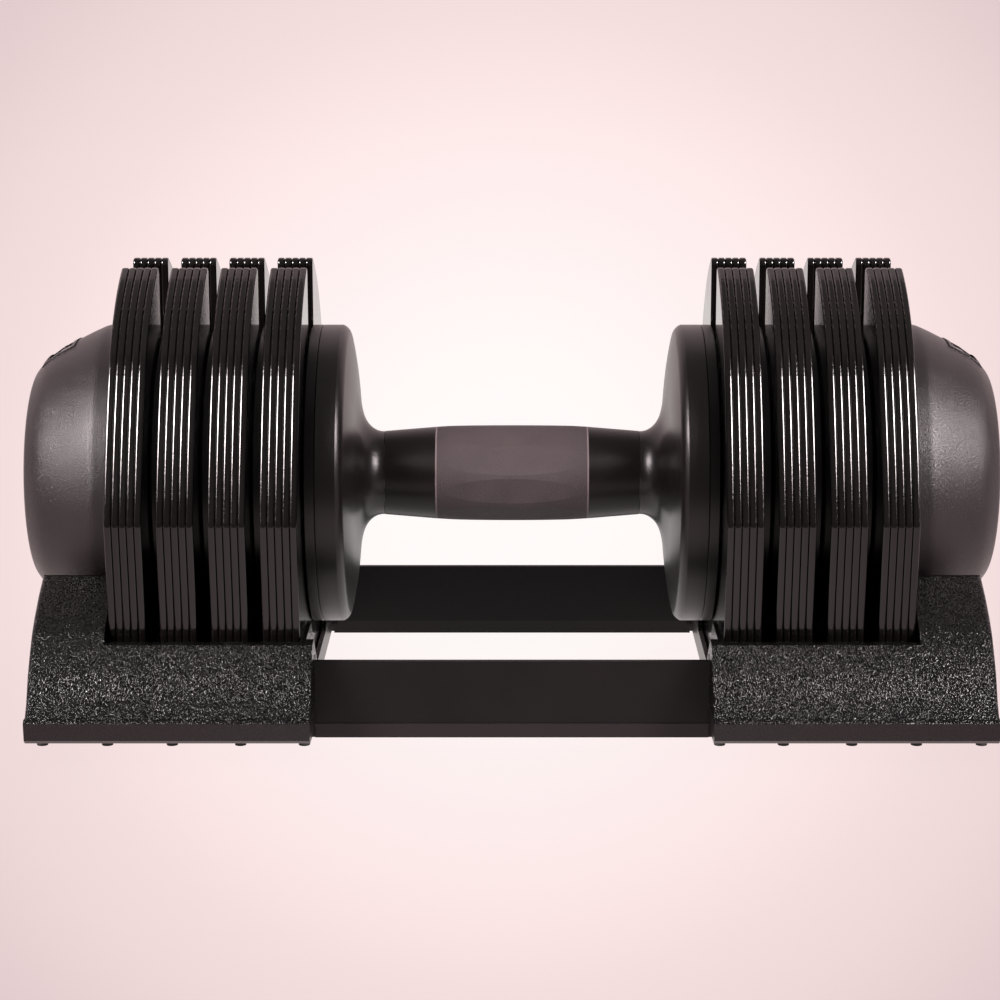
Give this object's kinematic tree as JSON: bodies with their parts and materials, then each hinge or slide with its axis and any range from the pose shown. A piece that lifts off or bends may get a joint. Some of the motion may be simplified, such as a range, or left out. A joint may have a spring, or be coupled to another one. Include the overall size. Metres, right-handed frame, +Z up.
{
  "type": "adjustable dumbbell",
  "caption": "Adjustable dumbbell with laminated plates in a moulded storage tray; twisting the grip selects how many plates lift with the handle.",
  "frame": {"origin": "centre of the footprint on the table plane, under the middle of the grip", "axes": "+X along the handle to the right, +Y to the rear, +Z up"},
  "size_m": [0.3892, 0.2196, 0.1768],
  "materials": {
    "plate_black_enamel": "gloss",
    "rivet_steel": "satin",
    "disc_black": "satin",
    "inner_steel": "brushed",
    "grip_black": "satin",
    "grip_grey": "matte, finely grained",
    "bush_nylon": "satin",
    "cap_black": "satin, finely grained",
    "hub_steel": "dark oxide",
    "drum_dark": "satin",
    "closing_black": "matte",
    "cover_black": "satin",
    "lens_clear": "clear",
    "spring_steel": "drawn wire",
    "plunger_steel": "turned",
    "tray_black": "coarse pebble grain",
    "screw_steel": "black oxide",
    "rail_black": "satin",
    "foot_rubber": "matte"
  },
  "bodies": {
    "tray": {"tray_left": "tray_black", "tray_right": "tray_black", "front_rail": "rail_black", "rear_rail": "rail_black", "rail_screws": "screw_steel", "rubber_feet": "foot_rubber"},
    "dumbbell_frame": {"centre_bar": "inner_steel", "closing_screws": "screw_steel", "end_nuts": "screw_steel", "end_cap_left": "cap_black", "closing_disc_left": "closing_black", "end_cover_left": "cover_black", "window_lens_left": "lens_clear", "lock_spring_left": "spring_steel", "end_cap_right": "cap_black", "closing_disc_right": "closing_black", "end_cover_right": "cover_black", "window_lens_right": "lens_clear", "lock_spring_right": "spring_steel"},
    "handle": {"grip_tube": "inner_steel", "grip_sleeve": "grip_black", "grip_band": "grip_grey", "bushes": "bush_nylon", "flange_left": "cap_black", "hub_sleeve_left": "hub_steel", "weight_drum_left": "drum_dark", "flange_right": "cap_black", "hub_sleeve_right": "hub_steel", "weight_drum_right": "drum_dark", "selector_disc_left_1": "disc_black", "selector_disc_left_2": "disc_black", "selector_disc_left_3": "disc_black", "selector_disc_left_4": "disc_black", "selector_disc_right_1": "disc_black", "selector_disc_right_2": "disc_black", "selector_disc_right_3": "disc_black", "selector_disc_right_4": "disc_black"},
    "lock_plunger_left": {"lock_plunger_left": "plunger_steel"},
    "lock_plunger_right": {"lock_plunger_right": "plunger_steel"},
    "plate_left_1": {"plate_left_1": "plate_black_enamel", "plate_rivets_left_1": "rivet_steel"},
    "plate_left_2": {"plate_left_2": "plate_black_enamel", "plate_rivets_left_2": "rivet_steel"},
    "plate_left_3": {"plate_left_3": "plate_black_enamel", "plate_rivets_left_3": "rivet_steel"},
    "plate_left_4": {"plate_left_4": "plate_black_enamel", "plate_rivets_left_4": "rivet_steel"},
    "plate_right_1": {"plate_right_1": "plate_black_enamel", "plate_rivets_right_1": "rivet_steel"},
    "plate_right_2": {"plate_right_2": "plate_black_enamel", "plate_rivets_right_2": "rivet_steel"},
    "plate_right_3": {"plate_right_3": "plate_black_enamel", "plate_rivets_right_3": "rivet_steel"},
    "plate_right_4": {"plate_right_4": "plate_black_enamel", "plate_rivets_right_4": "rivet_steel"}
  },
  "joints": [
    {"name": "dumbbell_lift", "type": "slide", "parent": "tray", "child": "dumbbell_frame", "axis": [0, 0, 1], "range_m": [0, 0.2]},
    {"name": "handle_twist", "type": "hinge", "parent": "dumbbell_frame", "child": "handle", "pos_m": [0, 0, 0.09], "axis": [-1, 0, 0], "range_deg": [0, 144]},
    {"name": "lock_plunger_left_slide", "type": "slide", "parent": "dumbbell_frame", "child": "lock_plunger_left", "axis": [0, 0, 1], "range_m": [-0.004, 0], "deforming": ["lock_spring_left"]},
    {"name": "lock_plunger_right_slide", "type": "slide", "parent": "dumbbell_frame", "child": "lock_plunger_right", "axis": [0, 0, 1], "range_m": [-0.004, 0], "deforming": ["lock_spring_right"]},
    {"name": "plate_left_1_lift", "type": "slide", "parent": "tray", "child": "plate_left_1", "axis": [0, 0, 1], "range_m": [0, 0.2]},
    {"name": "plate_left_2_lift", "type": "slide", "parent": "tray", "child": "plate_left_2", "axis": [0, 0, 1], "range_m": [0, 0.2]},
    {"name": "plate_left_3_lift", "type": "slide", "parent": "tray", "child": "plate_left_3", "axis": [0, 0, 1], "range_m": [0, 0.2]},
    {"name": "plate_left_4_lift", "type": "slide", "parent": "tray", "child": "plate_left_4", "axis": [0, 0, 1], "range_m": [0, 0.2]},
    {"name": "plate_right_1_lift", "type": "slide", "parent": "tray", "child": "plate_right_1", "axis": [0, 0, 1], "range_m": [0, 0.2]},
    {"name": "plate_right_2_lift", "type": "slide", "parent": "tray", "child": "plate_right_2", "axis": [0, 0, 1], "range_m": [0, 0.2]},
    {"name": "plate_right_3_lift", "type": "slide", "parent": "tray", "child": "plate_right_3", "axis": [0, 0, 1], "range_m": [0, 0.2]},
    {"name": "plate_right_4_lift", "type": "slide", "parent": "tray", "child": "plate_right_4", "axis": [0, 0, 1], "range_m": [0, 0.2]}
  ],
  "couplings": [
    {"joint": "lock_plunger_left_slide", "follows": "dumbbell_lift", "ratio": -0.02},
    {"joint": "lock_plunger_right_slide", "follows": "dumbbell_lift", "ratio": -0.02},
    {"joint": "plate_left_1_lift", "follows": "dumbbell_lift", "ratio": 1},
    {"joint": "plate_left_2_lift", "follows": "dumbbell_lift", "ratio": 1},
    {"joint": "plate_left_3_lift", "follows": "dumbbell_lift", "ratio": 1},
    {"joint": "plate_left_4_lift", "follows": "dumbbell_lift", "ratio": 1},
    {"joint": "plate_right_1_lift", "follows": "dumbbell_lift", "ratio": 1},
    {"joint": "plate_right_2_lift", "follows": "dumbbell_lift", "ratio": 1},
    {"joint": "plate_right_3_lift", "follows": "dumbbell_lift", "ratio": 1},
    {"joint": "plate_right_4_lift", "follows": "dumbbell_lift", "ratio": 1}
  ]
}
